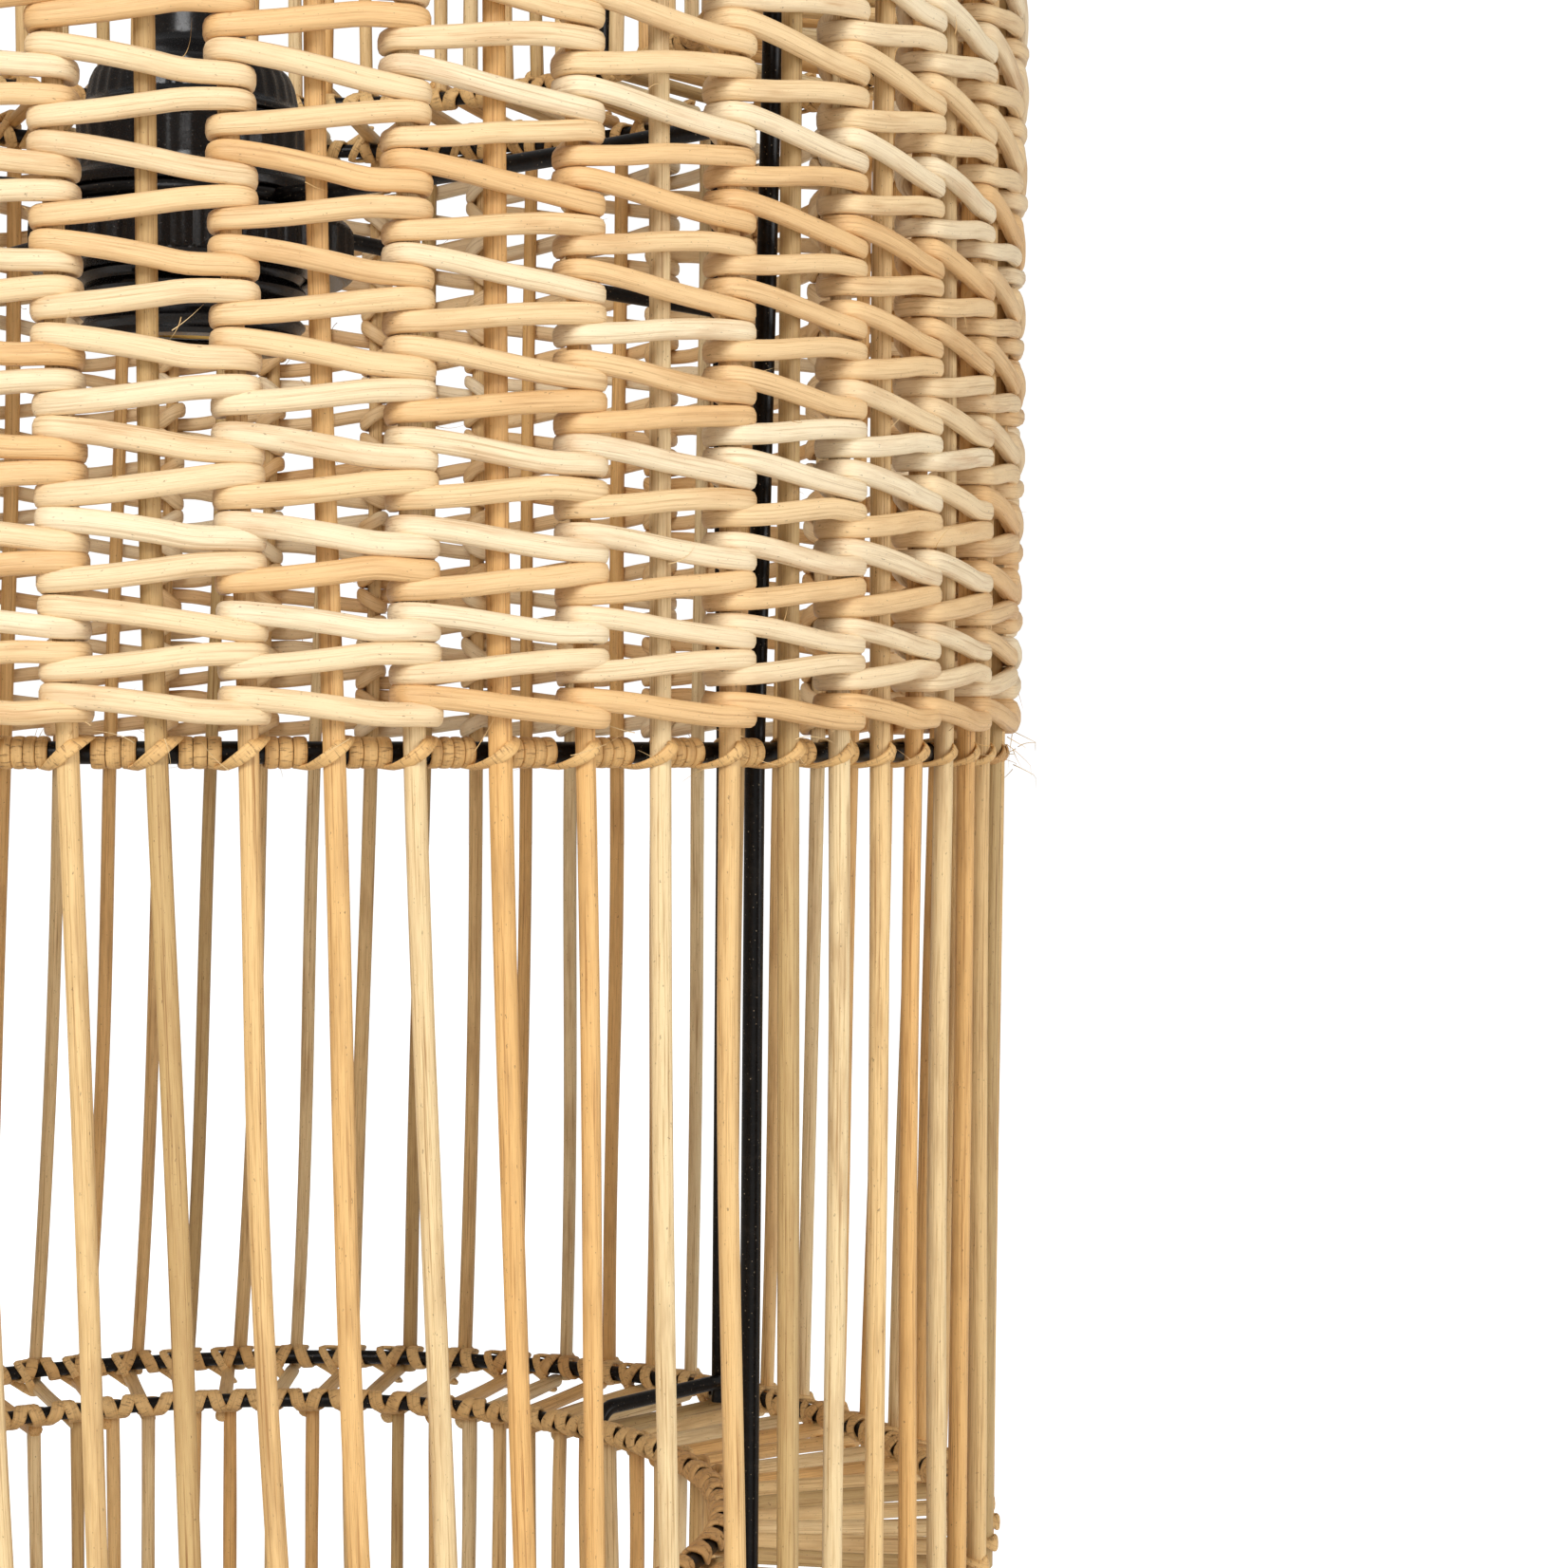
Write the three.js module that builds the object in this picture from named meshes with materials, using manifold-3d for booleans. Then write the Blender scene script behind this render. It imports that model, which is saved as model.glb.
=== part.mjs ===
// Hanging lamp: a drum of upright rattan stakes on a black wire frame, woven over its upper half,
// with a stick shoulder and a narrower stick neck at each end, and a lampholder hanging mouth down inside.
// Millimetres, +Z up. The origin is on the lamp's axis, at the top of the holder's cable grip.

import * as THREE from 'three';
import { mergeVertices } from 'three/addons/utils/BufferGeometryUtils.js';
import Module from 'manifold-3d';

const wasm = await Module();
wasm.setup();

// ---------------------------------------------------------------- driving dimensions

const GAP = 0.3;                  // clearance left between touching pieces

const MIDDLE_Z = -144.5;          // plane of the middle ring, half way down the drum
const DRUM_HALF = 136;            // from the middle ring to the top or bottom ring
const NECK_LENGTH = 60;           // from a shoulder ring to its neck's end ring
const TOP_Z = MIDDLE_Z + DRUM_HALF;
const BOTTOM_Z = MIDDLE_Z - DRUM_HALF;

const WIRE_R = 1.5;               // frame wire
const STAKE_R = 1.55;             // rattan rods
const STAKES = 76;                // rods round the drum, and round each neck and shoulder
const STAKE_PHASE = -6.5;         // first rod, in degrees round from the front (-Y) towards +X
const PITCH = 360 / STAKES;
const TWIST_TOP = -0.7;           // the rods' tops and feet have slipped round the drum, in degrees
const TWIST_BOTTOM = 1.3;

const DRUM_R_BOTTOM = 140.7;      // circle of stake centres; the drum widens slightly upwards
const DRUM_R_TOP = 143.8;
const RING_INSET = 3.7;           // ring wire centre, inside the circle of rods bound to it
const POST_INSET = 3.7;           // post centre, inside the ring centre
const POST_ANGLES = [37.4, 124.9, 217.4, 304.9];   // degrees round from the front towards +X

const NECK_RING_R = 94;           // shoulder and neck rings
const NECK_R = NECK_RING_R + RING_INSET;
const NECK_WIRE_SLOTS = [9.5, 27.5, 47.5, 65.5];   // each neck wire stands half way between these two rods

const RAIL_T = 1.8;               // half thickness of the cane lashing that joins a row of rods
const RAIL_H = 2.0;               // half height of that lashing

const WEAVE_GAP_R = STAKE_R + 0.4;   // woven band, outside the stake centres
const WEAVE_T = 3.4;
const WEAVE_Z0 = MIDDLE_Z + 4.5;
const WEAVE_Z1 = TOP_Z - 4.5;

const SPIDER_Z = MIDDLE_Z + 95.8;    // plane of the wire spider that carries the shade
const SPIDER_DROP = 2.5;             // how much lower the spider's arms meet the posts
const SPIDER_RING_R = 23;

const HOLDER_R = 20.1;               // lampholder body
const SKIRT_R = 19.8;                // crest of its outside thread
const MOUTH_Z = MIDDLE_Z + 72;
const SHOULDER_Z = SPIDER_Z + WIRE_R + GAP;
const BODY_TOP_Z = MIDDLE_Z + 111.4;
const CAP_TOP_Z = MIDDLE_Z + 130.5;
const RING_TOP_Z = SPIDER_Z - WIRE_R - GAP;
const SHADE_RING_H = 10.2;
const SHADE_RING_R = 28.3;

// ---------------------------------------------------------------- materials

const finish = (color, roughness, metalness = 0) => () =>
  new THREE.MeshStandardMaterial({ color, roughness, metalness });
const blackWire = finish(0x151312, 0.35, 0.4);
const rattan = finish(0xdcb47c, 0.6);
const weft = finish(0xf0d5a4, 0.55);
const bakelite = finish(0x121212, 0.3);
const porcelain = finish(0xe9e6df, 0.35);
const brass = finish(0xb08d45, 0.35, 0.9);
const zincSteel = finish(0xa9abad, 0.35, 0.9);

// ---------------------------------------------------------------- helpers

const lamp = new THREE.Group();

function add(name, geometry, material) {
  const mesh = new THREE.Mesh(geometry, material());
  mesh.name = name;
  lamp.add(mesh);
  return mesh;
}

// Angle in degrees round from the front (-Y) towards +X.
function around(radius, degrees, z = 0) {
  const a = THREE.MathUtils.degToRad(degrees);
  return new THREE.Vector3(radius * Math.sin(a), -radius * Math.cos(a), z);
}

function toSolid(geometry) {
  const bare = geometry.clone();
  bare.deleteAttribute('normal');
  bare.deleteAttribute('uv');
  const merged = mergeVertices(bare, 1e-4);
  return new wasm.Manifold(new wasm.Mesh({
    numProp: 3,
    vertProperties: new Float32Array(merged.attributes.position.array),
    triVerts: new Uint32Array(merged.index.array),
  }));
}

function toGeometry(solid) {
  const mesh = solid.getMesh();
  const geometry = new THREE.BufferGeometry();
  geometry.setAttribute('position', new THREE.BufferAttribute(new Float32Array(mesh.vertProperties), 3));
  geometry.setIndex(new THREE.BufferAttribute(new Uint32Array(mesh.triVerts), 1));
  geometry.computeVertexNormals();
  return geometry;
}

function join(geometries) {
  return toGeometry(geometries.map(toSolid).reduce((whole, next) => whole.add(next)));
}

function cut(geometry, ...tools) {
  return toGeometry(tools.map(toSolid).reduce((whole, next) => whole.subtract(next), toSolid(geometry)));
}

// A straight rod between two points.
function rod(from, to, radius, sides) {
  const along = new THREE.Vector3().subVectors(to, from);
  const geometry = new THREE.CylinderGeometry(radius, radius, along.length(), sides, 1);
  const turn = new THREE.Quaternion().setFromUnitVectors(new THREE.Vector3(0, 1, 0), along.clone().normalize());
  geometry.applyQuaternion(turn);
  return geometry.translate((from.x + to.x) / 2, (from.y + to.y) / 2, (from.z + to.z) / 2);
}

function wireRing(radius, z, segments = 40) {
  return new THREE.TorusGeometry(radius, WIRE_R, 6, segments).translate(0, 0, z);
}

// Part of a flat ring, standing on z0.
function arcBand(inner, outer, fromDegrees, toDegrees, z0, height, segments) {
  const start = THREE.MathUtils.degToRad(fromDegrees - 90);
  const end = THREE.MathUtils.degToRad(toDegrees - 90);
  const shape = new THREE.Shape();
  shape.absarc(0, 0, outer, start, end, false);
  shape.absarc(0, 0, inner, end, start, true);
  return new THREE.ExtrudeGeometry(shape, { depth: height, bevelEnabled: false, curveSegments: segments })
    .translate(0, 0, z0);
}

// A body turned about the axis. The profile is [radius, z] pairs that end on the axis or close on themselves.
function turned(profile, segments = 24) {
  const points = profile.map(([r, z]) => new THREE.Vector2(r, z));
  return new THREE.LatheGeometry(points, segments).rotateX(Math.PI / 2);
}

// A ring or tube: its profile is closed, and runs anticlockwise in (radius, z).
function turnedRing(profile, segments = 24) {
  return turned([...profile, profile[0]], segments);
}

const drumR = (z) => THREE.MathUtils.mapLinear(z, BOTTOM_Z, TOP_Z, DRUM_R_BOTTOM, DRUM_R_TOP);
const stakeAngle = (i, twist = 0) => STAKE_PHASE + twist + i * PITCH;
const drumTwist = (z) => THREE.MathUtils.mapLinear(z, BOTTOM_Z, TOP_Z, TWIST_BOTTOM, TWIST_TOP);

// ---------------------------------------------------------------- wire frame

function drumRing(z) {
  return wireRing(drumR(z) - RING_INSET, z);
}

add('top_ring', drumRing(TOP_Z), blackWire);
add('middle_ring', drumRing(MIDDLE_Z), blackWire);
add('bottom_ring', drumRing(BOTTOM_Z), blackWire);

function drumPost(angle) {
  const inset = RING_INSET + POST_INSET;
  const low = around(drumR(BOTTOM_Z) - inset, angle, BOTTOM_Z - WIRE_R);
  const high = around(drumR(TOP_Z) - inset, angle, TOP_Z + WIRE_R);
  return rod(low, high, WIRE_R, 10);
}

POST_ANGLES.forEach((angle, i) => add(`drum_post_${i + 1}`, drumPost(angle), blackWire));

// A shoulder strut and neck wire in one: in from a drum post, then square down the neck between two of its rods.
function neckWire(postAngle, neckAngle, ringZ, outward) {
  const strutZ = ringZ - outward * POST_INSET;
  const outerR = drumR(ringZ) - RING_INSET - POST_INSET - 2 * WIRE_R - GAP;
  const strut = rod(around(outerR, postAngle, strutZ), around(NECK_R - WIRE_R, neckAngle, strutZ), WIRE_R, 6);
  const endZ = ringZ + outward * (NECK_LENGTH + WIRE_R);
  const upright = rod(around(NECK_R, neckAngle, strutZ), around(NECK_R, neckAngle, endZ), WIRE_R, 6);
  return join([strut, upright]);
}

for (const [end, ringZ, outward] of [['top', TOP_Z, 1], ['bottom', BOTTOM_Z, -1]]) {
  add(`${end}_shoulder_ring`, wireRing(NECK_RING_R, ringZ), blackWire);
  add(`${end}_neck_ring`, wireRing(NECK_RING_R, ringZ + outward * NECK_LENGTH), blackWire);
  POST_ANGLES.forEach((angle, i) => {
    const neckAngle = stakeAngle(NECK_WIRE_SLOTS[i], drumTwist(ringZ));
    add(`${end}_neck_wire_${i + 1}`, neckWire(angle, neckAngle, ringZ, outward), blackWire);
  });
}

// ---------------------------------------------------------------- spider

add('spider_ring', wireRing(SPIDER_RING_R, SPIDER_Z, 28), blackWire);

function spiderArm(angle) {
  const endZ = SPIDER_Z - SPIDER_DROP;
  const endR = drumR(endZ) - RING_INSET - POST_INSET - WIRE_R - GAP;
  return rod(around(SPIDER_RING_R + WIRE_R + GAP, angle, SPIDER_Z), around(endR, angle, endZ), WIRE_R, 10);
}

POST_ANGLES.forEach((angle, i) => add(`spider_arm_${i + 1}`, spiderArm(angle), blackWire));

// ---------------------------------------------------------------- rattan

// A row of upright rods between two ends, with the lashings that join them into one panel.
// space is the room left between this panel and the next.
function rodPanel(first, count, ends, lashed, sides, space = GAP) {
  const margin = PITCH / 2 - THREE.MathUtils.radToDeg(space / 2 / ends[0].radius);
  const bays = Math.ceil(count / 2);
  const pieces = lashed.map(({ radius, z, twist }) => {
    const from = stakeAngle(first, twist) - margin;
    const to = stakeAngle(first + count - 1, twist) + margin;
    return arcBand(radius - RAIL_T, radius + RAIL_T, from, to, z - RAIL_H, 2 * RAIL_H, bays);
  });
  for (let i = 0; i < count; i += 1) {
    const [low, high] = ends.map(({ radius, z, twist }) => around(radius, stakeAngle(first + i, twist), z));
    pieces.push(rod(low, high, STAKE_R, sides));
  }
  return join(pieces);
}

const STAKE_PANELS = 8;
const stakeEnds = [BOTTOM_Z, TOP_Z].map((z) => ({ radius: drumR(z), z, twist: drumTwist(z) }));
for (let i = 0; i < STAKE_PANELS; i += 1) {
  const first = Math.round(i * STAKES / STAKE_PANELS);
  const next = Math.round((i + 1) * STAKES / STAKE_PANELS);
  add(`drum_stakes_${i + 1}`, rodPanel(first, next - first, stakeEnds, stakeEnds, 6), rattan);
}

// The woven band: a thin conical shell round the upper half of the stakes.
function wovenBand() {
  const inner = (z) => drumR(z) + WEAVE_GAP_R;
  return turnedRing([
    [inner(WEAVE_Z0), WEAVE_Z0],
    [inner(WEAVE_Z0) + WEAVE_T, WEAVE_Z0],
    [inner(WEAVE_Z1) + WEAVE_T, WEAVE_Z1],
    [inner(WEAVE_Z1), WEAVE_Z1],
  ], 72);
}

add('woven_band', wovenBand(), weft);

// Shoulder sticks lie flat on the outer side of the two rings that they join, one to each stake.
const SHOULDER_LIFT = WIRE_R + GAP + RAIL_T;
const SHOULDER_INSET = 2 * RAIL_T + 2 * GAP;
const SHOULDER_STICK_R = 1.5;

function shoulderSticks(z, twist) {
  const inner = NECK_R + SHOULDER_INSET;
  const outer = drumR(z) - SHOULDER_INSET;
  const lashing = turnedRing([
    [outer - RAIL_T, z - RAIL_T],
    [outer + RAIL_T, z - RAIL_T],
    [outer + RAIL_T, z + RAIL_T],
    [outer - RAIL_T, z + RAIL_T],
  ], STAKES / 2);
  const pieces = [lashing];
  for (let i = 0; i < STAKES; i += 1) {
    const angle = stakeAngle(i, twist);
    pieces.push(rod(around(inner - RAIL_T, angle, z), around(outer, angle, z), SHOULDER_STICK_R, 4));
  }
  return join(pieces);
}

const NECK_WIRE_SPACE = 2 * (WIRE_R + GAP);

for (const [end, ringZ, outward] of [['top', TOP_Z, 1], ['bottom', BOTTOM_Z, -1]]) {
  const shoulderZ = ringZ + outward * SHOULDER_LIFT;
  const twist = drumTwist(ringZ);
  add(`${end}_shoulder_sticks`, shoulderSticks(shoulderZ, twist), rattan);
  const foot = { radius: NECK_R, z: shoulderZ - outward * RAIL_T, twist };
  const rim = { radius: NECK_R, z: ringZ + outward * NECK_LENGTH, twist };
  NECK_WIRE_SLOTS.forEach((slot, i) => {
    const first = Math.ceil(slot);
    const next = Math.ceil(NECK_WIRE_SLOTS[i + 1] ?? NECK_WIRE_SLOTS[0] + STAKES);
    const panel = rodPanel(first, next - first, [foot, rim], [rim], 4, NECK_WIRE_SPACE);
    add(`${end}_neck_sticks_${i + 1}`, panel, rattan);
  });
}

// ---------------------------------------------------------------- lampholder

const INSERT_R = 14.7;
const BORE_R = INSERT_R + GAP;
const LIP_R = 14.0;                          // the mouth's lip, which the insert stands on
const LIP_H = 3;
const INSERT_FLOOR_Z = MIDDLE_Z + 94.5;
const INSERT_TOP_Z = MIDDLE_Z + 108;
const SLEEVE_PITCH = 3.6;
const SLEEVE_TURNS = 4;
const SLEEVE_R = 12.4;                       // crest of the lamp thread
const SLEEVE_DEPTH = 0.75;
const SLEEVE_WALL = 0.4;
const NIPPLE_R = 5;
const CORD_R = 3.9;                          // way through for a cord
const TERMINAL_X = 8;
const CONTACT_Z = MIDDLE_Z + 89.5;

// Body: a flange on top, and a skirt below it with an outside thread that carries the shade ring.
function holderBody() {
  const root = SKIRT_R - 1.1;
  const ridgeHalf = 1.5;
  const ridges = 4;
  const skirt = [[root, MOUTH_Z]];
  for (let i = 0; i < ridges; i += 1) {
    const z = MOUTH_Z + 2 * i * ridgeHalf;
    skirt.push([SKIRT_R, z + ridgeHalf], [root, z + 2 * ridgeHalf]);
  }
  return turnedRing([
    [LIP_R, MOUTH_Z],
    ...skirt,
    [root, SHOULDER_Z],
    [HOLDER_R + 3.6, SHOULDER_Z],
    [HOLDER_R + 3.6, SHOULDER_Z + 2],
    [HOLDER_R, SHOULDER_Z + 3.2],
    [HOLDER_R, BODY_TOP_Z],
    [BORE_R, BODY_TOP_Z],
    [BORE_R, MOUTH_Z + LIP_H],
    [LIP_R, MOUTH_Z + LIP_H],
  ]);
}

add('holder_body', holderBody(), bakelite);

function holderCap() {
  const foot = BODY_TOP_Z + GAP;
  return turnedRing([
    [17, foot],
    [HOLDER_R, foot],
    [18.6, foot + 1.9],
    [18, foot + 6.6],
    [15, CAP_TOP_Z - 9],
    [9.5, CAP_TOP_Z - 5.8],
    [9, CAP_TOP_Z],
    [NIPPLE_R + GAP, CAP_TOP_Z],
    [NIPPLE_R + GAP, CAP_TOP_Z - 9],
    [12, CAP_TOP_Z - 11.5],
    [15.5, CAP_TOP_Z - 14],
  ]);
}

add('holder_cap', holderCap(), bakelite);

// The shade ring screws up the skirt and clamps the spider under the body's flange.
function shadeRing() {
  const low = RING_TOP_Z - SHADE_RING_H;
  const bore = SKIRT_R + GAP;
  return turnedRing([
    [bore, low],
    [SHADE_RING_R - 1.2, low],
    [SHADE_RING_R, low + 1.5],
    [SHADE_RING_R, RING_TOP_Z - 1.5],
    [SHADE_RING_R - 1, RING_TOP_Z],
    [bore, RING_TOP_Z],
  ]);
}

add('shade_ring', shadeRing(), bakelite);

function capNipple() {
  return turnedRing([
    [CORD_R, CAP_TOP_Z - 12],
    [NIPPLE_R, CAP_TOP_Z - 12],
    [NIPPLE_R, CAP_TOP_Z + 5],
    [CORD_R, CAP_TOP_Z + 5],
  ], 20);
}

add('cap_nipple', capNipple(), zincSteel);

const GRIP_SCREW_R = 1.9;
const GRIP_SCREW_Z = -4.6;

function cableGrip() {
  const foot = CAP_TOP_Z + GAP;
  const ledge = CAP_TOP_Z + 5 + GAP;
  const shell = turnedRing([
    [NIPPLE_R + GAP, foot],
    [7.6, foot],
    [7.6, -3],
    [6.6, 0],
    [CORD_R, 0],
    [CORD_R, ledge],
    [NIPPLE_R + GAP, ledge],
  ], 20);
  const hole = rod(around(0, 90, GRIP_SCREW_Z), around(12, 90, GRIP_SCREW_Z), GRIP_SCREW_R + GAP, 12);
  return cut(shell, hole);
}

add('cable_grip', cableGrip(), bakelite);
add('grip_screw', rod(around(4.4, 90, GRIP_SCREW_Z), around(9, 90, GRIP_SCREW_Z), GRIP_SCREW_R, 12), bakelite);

// Insert: a cup, open downwards, that holds the threaded sleeve and the contacts.
function lampInsert() {
  const wall = SLEEVE_R + SLEEVE_DEPTH + SLEEVE_WALL + GAP;
  const cup = turned([
    [0, INSERT_FLOOR_Z],
    [wall, INSERT_FLOOR_Z],
    [wall, MOUTH_Z + LIP_H + GAP],
    [INSERT_R, MOUTH_Z + LIP_H + GAP],
    [INSERT_R, INSERT_TOP_Z],
    [0, INSERT_TOP_Z],
  ]);
  const through = rod(around(0, 0, INSERT_FLOOR_Z - 5), around(0, 0, INSERT_TOP_Z + 5), 1.8, 12);
  const terminals = [90, 270].map((side) => (
    rod(around(TERMINAL_X, side, INSERT_TOP_Z - 7), around(TERMINAL_X, side, INSERT_TOP_Z + 5), 1.7, 10)));
  return cut(cup, through, ...terminals);
}

add('lamp_insert', lampInsert(), porcelain);

function threadSleeve() {
  const low = MOUTH_Z + LIP_H + GAP;
  const inner = [];
  const outer = [];
  for (let i = 0; i <= 2 * SLEEVE_TURNS; i += 1) {
    const z = low + i * SLEEVE_PITCH / 2;
    const r = SLEEVE_R + (i % 2) * SLEEVE_DEPTH;
    outer.push([r + SLEEVE_WALL, z]);
    inner.unshift([r, z]);
  }
  return turnedRing([...outer, ...inner], 20);
}

add('thread_sleeve', threadSleeve(), brass);

// The centre contact's stem slides in the insert, and a lamp's tip presses it upwards.
function centreContact() {
  return turned([
    [0, CONTACT_Z],
    [3, CONTACT_Z],
    [4, CONTACT_Z + 0.8],
    [1.5, CONTACT_Z + 1.6],
    [1.5, INSERT_TOP_Z + 0.5],
    [0, INSERT_TOP_Z + 0.5],
  ], 16);
}

add('centre_contact', centreContact(), brass);

function sideContact() {
  const thickness = 1.2;
  return new THREE.BoxGeometry(3.6, 4, thickness)
    .translate(SLEEVE_R - 2.6, 0, INSERT_FLOOR_Z - GAP - thickness / 2);
}

add('side_contact', sideContact(), brass);

function terminalScrew(side) {
  const screw = turned([
    [0, INSERT_TOP_Z - 6],
    [1.4, INSERT_TOP_Z - 6],
    [1.4, INSERT_TOP_Z + GAP],
    [2.6, INSERT_TOP_Z + GAP],
    [2.6, INSERT_TOP_Z + 2],
    [0, INSERT_TOP_Z + 2],
  ], 12);
  return screw.translate(side * TERMINAL_X, 0, 0);
}

add('terminal_screw_1', terminalScrew(1), zincSteel);
add('terminal_screw_2', terminalScrew(-1), zincSteel);

export default lamp;
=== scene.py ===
"""Looks of the rattan hanging lamp: round and flat cane swept along its real paths, on a black wire frame.

Lengths are in millimetres here and become metres when a mesh is made. Angles run round from the front
(-Y) towards +X, in degrees. The origin is on the lamp's axis, at the top of the cable grip.
"""

import math

import bpy
import numpy as np
from mathutils import Euler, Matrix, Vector


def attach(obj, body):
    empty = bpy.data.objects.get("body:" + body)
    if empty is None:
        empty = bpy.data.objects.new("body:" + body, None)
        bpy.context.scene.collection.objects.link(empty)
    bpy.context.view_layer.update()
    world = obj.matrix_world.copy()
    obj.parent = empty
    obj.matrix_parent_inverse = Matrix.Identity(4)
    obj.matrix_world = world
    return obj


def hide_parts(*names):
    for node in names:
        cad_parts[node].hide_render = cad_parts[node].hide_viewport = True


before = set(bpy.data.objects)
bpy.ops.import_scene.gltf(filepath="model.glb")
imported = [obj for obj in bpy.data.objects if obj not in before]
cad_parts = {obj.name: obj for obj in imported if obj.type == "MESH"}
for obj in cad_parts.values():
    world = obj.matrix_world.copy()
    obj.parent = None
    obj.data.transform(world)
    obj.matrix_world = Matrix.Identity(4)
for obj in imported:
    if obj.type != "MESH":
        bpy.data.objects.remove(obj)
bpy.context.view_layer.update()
scene = bpy.context.scene
rng = np.random.default_rng(20)

# ---------------------------------------------------------------- dimensions, nearly all as in the CAD source

MIDDLE_Z, DRUM_HALF, NECK_LENGTH = -144.5, 136.0, 60.0
TOP_Z, BOTTOM_Z = MIDDLE_Z + DRUM_HALF, MIDDLE_Z - DRUM_HALF
GAP = 0.3                                                # left between wires that are welded in the lamp
WIRE_R, STAKE_R, STAKES, STAKE_PHASE = 1.5, 1.53, 76, -6.5
PITCH = 360 / STAKES
DRUM_R_BOTTOM, DRUM_R_TOP = 140.7, 143.8
RING_INSET, POST_INSET, POST_ANGLES = 3.7, 3.7, (37.4, 124.9, 217.4, 304.9)
NECK_RING_R = 94.0
NECK_R = NECK_RING_R + RING_INSET
NECK_WIRE_SLOTS = (9.5, 27.5, 47.5, 65.5)                # each neck wire stands between these two sticks
SHOULDER_LIFT = 3.4
SPIDER_Z, SPIDER_DROP, SPIDER_RING_R = MIDDLE_Z + 95.8, 2.5, 23.0
HOLDER_R, SKIRT_R, MOUTH_Z = 20.1, 19.8, MIDDLE_Z + 72
BODY_TOP_Z, CAP_TOP_Z = MIDDLE_Z + 111.4, MIDDLE_Z + 130.5
INSERT_TOP_Z, CONTACT_Z = MIDDLE_Z + 108, MIDDLE_Z + 89.5
SHOULDER_Z, RING_TOP_Z = SPIDER_Z + WIRE_R + GAP, SPIDER_Z - WIRE_R - GAP
ENDS = (("top", TOP_Z, 1), ("bottom", BOTTOM_Z, -1))     # name, height of its rings, which way is outward

LEAN_FIT = (0.029, 0.010, 0.003)                         # slip of the feet, by powers of the distance down
BUNCH_SHIFT, BUNCH = -0.6, 1.1                           # millimetres round the drum

# ---------------------------------------------------------------- camera

LENS, SENSOR_WIDTH = 66.0, 36
LENS_SHIFT = (-0.026, -0.020)
CAMERA_DISTANCE = 0.5224                                 # metres, from the lamp's axis
CAMERA_TURN = -12.4                                      # degrees, aimed to the right of the axis

cam = bpy.data.objects.new("camera", bpy.data.cameras.new("camera"))
scene.collection.objects.link(cam)
scene.camera = cam
cam.data.lens, cam.data.sensor_width = LENS, SENSOR_WIDTH
cam.data.shift_x, cam.data.shift_y = LENS_SHIFT
cam.location = (0, -CAMERA_DISTANCE, MIDDLE_Z / 1000)
cam.rotation_euler = Euler((math.radians(90), 0, math.radians(CAMERA_TURN)))
cam.data.clip_start, cam.data.clip_end = 0.01, 20

# ---------------------------------------------------------------- geometry helpers

def drum_r(z):
    """Radius of the circle of stake centres."""
    return DRUM_R_BOTTOM + (z - BOTTOM_Z) / (TOP_Z - BOTTOM_Z) * (DRUM_R_TOP - DRUM_R_BOTTOM)


def around(radius, degrees, z):
    a = np.radians(degrees)
    return np.stack(np.broadcast_arrays(radius * np.sin(a), -radius * np.cos(a), z), -1).astype(float)


def lean(degrees, z):
    """How far the stakes' feet have slipped round the drum, in millimetres: most midway between posts."""
    u = (MIDDLE_Z - z) / DRUM_HALF
    share = 0.55 + 0.45 * np.cos(np.radians(4 * (degrees - 4)))
    return DRUM_HALF * (LEAN_FIT[0] * u + LEAN_FIT[1] * u**2 + LEAN_FIT[2] * u**3) * share


def stake_angle(i, z):
    """Where stake i crosses height z. The stakes lean, and eight times round the drum they bunch together."""
    base = STAKE_PHASE + np.asarray(i) * PITCH
    bunching = BUNCH_SHIFT - BUNCH * np.cos(np.radians(8 * (base - 14)))
    return base + np.degrees((lean(base, z) + bunching) / drum_r(z))


def unit(v):
    return v / np.maximum(np.linalg.norm(v, axis=-1, keepdims=True), 1e-9)


def smooth(points, steps, closed=False):
    """Catmull-Rom curve through the points, `steps` samples to a span. Extra columns are carried along."""
    p = np.asarray(points, float)
    q = np.vstack([p[-1:], p, p[:2]]) if closed else np.vstack([2 * p[0] - p[1], p, 2 * p[-1] - p[-2]])
    t = np.linspace(0, 1, steps, endpoint=False)[None, :, None]
    a, b, c, d = (q[k:len(q) - 3 + k, None, :] for k in range(4))
    out = 0.5 * (2 * b + (c - a) * t + (2 * a - 5 * b + 4 * c - d) * t**2 + (3 * b - a - 3 * c + d) * t**3)
    out = out.reshape(-1, p.shape[1])
    return out if closed else np.vstack([out, p[-1]])


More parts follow.
